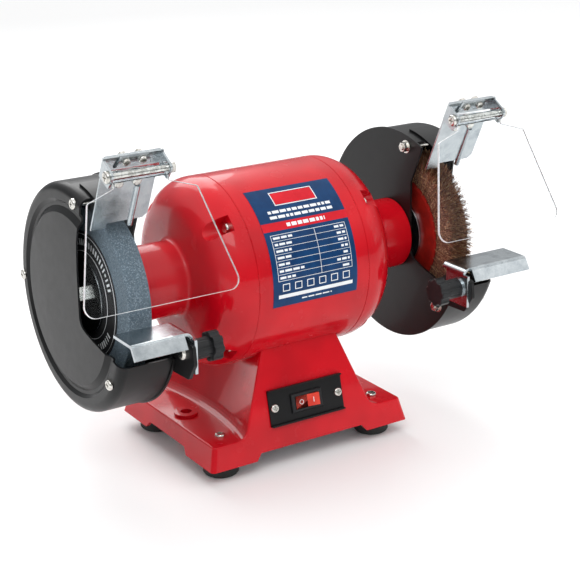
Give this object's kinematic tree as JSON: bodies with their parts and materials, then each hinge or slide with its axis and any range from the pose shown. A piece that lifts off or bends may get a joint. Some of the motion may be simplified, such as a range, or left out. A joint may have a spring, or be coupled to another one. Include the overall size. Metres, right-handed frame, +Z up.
{
  "type": "bench grinder",
  "caption": "Double-ended bench grinder: motor on a hollow cast base, grinding wheel left, wire wheel right, guards, tool rests, spark deflectors and clear eye shields.",
  "frame": {"origin": "on the casting's underside, midway between the two bench-bolt holes", "axes": "+X along the shaft towards the wire wheel, -Y towards the user, +Z up"},
  "size_m": [0.4598, 0.2229, 0.2989],
  "materials": {
    "red_enamel": "gloss red enamel on a casting",
    "black_enamel": "satin black enamel on pressed steel",
    "zinc_plate": "bright zinc plate on sheet steel",
    "steel_screws": "nickel-bright plated screws",
    "bearing_steel": "ground steel",
    "core_steel": "varnished electrical steel",
    "copper_wire": "varnished copper wire",
    "cast_aluminium": "die-cast aluminium",
    "abrasive": "blue-grey vitrified abrasive",
    "label_paper": "black blotting paper",
    "brass_wire": "brass-coated steel wire",
    "wheel_plate_paint": "red paint on pressed steel",
    "rubber": "moulded rubber",
    "black_plastic": "moulded black plastic",
    "grey_plastic": "moulded grey plastic",
    "white_plastic": "moulded white plastic",
    "red_plastic": "gloss red plastic",
    "label_film": "blue printed film",
    "clear_plastic": "clear polycarbonate"
  },
  "bodies": {
    "base": {"base_casting": "red_enamel", "base_bottom_cover": "zinc_plate", "rubber_feet": "rubber", "foot_screws": "steel_screws", "switch_plate": "black_enamel", "switch_plate_screws": "steel_screws", "switch_housing": "black_plastic", "cable_gland": "black_plastic", "capacitor": "grey_plastic", "terminal_block": "white_plastic", "motor_housing": "red_enamel", "end_bell_left": "red_enamel", "end_bell_right": "red_enamel", "through_bolts": "steel_screws", "motor_mount_screws": "steel_screws", "stator_core": "core_steel", "windings": "copper_wire", "rating_label": "label_film", "bearing_outer_rings": "bearing_steel", "wave_washer": "bearing_steel", "guard_plate_left": "black_enamel", "guard_plate_right": "black_enamel", "guard_cover_left": "black_enamel", "guard_cover_right": "black_enamel", "guard_cover_screws": "steel_screws", "guard_cover_nuts": "steel_screws", "guard_neck_screws": "steel_screws", "rest_brackets": "black_enamel", "deflector_angles": "black_enamel", "deflector_screws": "steel_screws", "rest_bolts": "steel_screws", "rest_washers": "zinc_plate"},
    "rotor": {"shaft": "bearing_steel", "rotor_core": "core_steel", "rotor_cage": "cast_aluminium", "bearing_inner_rings": "bearing_steel", "grinding_wheel": "abrasive", "wheel_blotters": "label_paper", "wire_ring": "brass_wire", "wire_side_plates": "wheel_plate_paint", "wheel_flanges": "zinc_plate", "arbor_nuts": "steel_screws"},
    "ball_sets": {"bearing_balls": "bearing_steel"},
    "rocker": {"switch_rocker": "red_plastic"},
    "left_deflector": {"spark_deflector_left": "zinc_plate", "shield_bracket_left": "zinc_plate", "clamp_plate_left": "zinc_plate", "clamp_screws_left": "steel_screws", "shield_pivot_left": "steel_screws"},
    "left_shield": {"eye_shield_left": "clear_plastic"},
    "left_rest": {"tool_rest_left": "zinc_plate"},
    "left_knob": {"rest_knob_left": "black_plastic"},
    "right_deflector": {"spark_deflector_right": "zinc_plate", "shield_bracket_right": "zinc_plate", "clamp_plate_right": "zinc_plate", "clamp_screws_right": "steel_screws", "shield_pivot_right": "steel_screws"},
    "right_shield": {"eye_shield_right": "clear_plastic"},
    "right_rest": {"tool_rest_right": "zinc_plate"},
    "right_knob": {"rest_knob_right": "black_plastic"}
  },
  "joints": [
    {"name": "rotor_spin", "type": "hinge", "parent": "base", "child": "rotor", "pos_m": [0, -0.004, 0.1502], "axis": [1, 0, 0], "continuous": true},
    {"name": "ball_spin", "type": "hinge", "parent": "base", "child": "ball_sets", "pos_m": [0, -0.004, 0.1502], "axis": [1, 0, 0], "continuous": true},
    {"name": "rocker_press", "type": "hinge", "parent": "base", "child": "rocker", "pos_m": [-0.002, -0.07299, 0.04043], "axis": [0, 0.2297, 0.9733], "range_deg": [0, 16]},
    {"name": "left_deflector_slide", "type": "slide", "parent": "base", "child": "left_deflector", "axis": [0, 0.4305, -0.9026], "range_m": [0, 0.006]},
    {"name": "left_shield_hinge", "type": "hinge", "parent": "left_deflector", "child": "left_shield", "pos_m": [-0.164, -0.09202, 0.27122], "axis": [-1, 0, 0], "range_deg": [-8, 95]},
    {"name": "left_rest_slide", "type": "slide", "parent": "base", "child": "left_rest", "axis": [0, -1, 0], "range_m": [-0.0035, 0.006]},
    {"name": "left_knob_turn", "type": "hinge", "parent": "base", "child": "left_knob", "pos_m": [-0.12, -0.108, 0.1262], "axis": [1, 0, 0], "range_deg": [0, 360]},
    {"name": "right_deflector_slide", "type": "slide", "parent": "base", "child": "right_deflector", "axis": [0, 0.4305, -0.9026], "range_m": [0, 0.006]},
    {"name": "right_shield_hinge", "type": "hinge", "parent": "right_deflector", "child": "right_shield", "pos_m": [0.164, -0.09202, 0.27122], "axis": [-1, 0, 0], "range_deg": [-8, 95]},
    {"name": "right_rest_slide", "type": "slide", "parent": "base", "child": "right_rest", "axis": [0, -1, 0], "range_m": [-0.0035, 0.006]},
    {"name": "right_knob_turn", "type": "hinge", "parent": "base", "child": "right_knob", "pos_m": [0.12, -0.108, 0.1262], "axis": [-1, 0, 0], "range_deg": [0, 360]}
  ],
  "couplings": [
    {"joint": "ball_spin", "follows": "rotor_spin", "ratio": 0.4125}
  ]
}
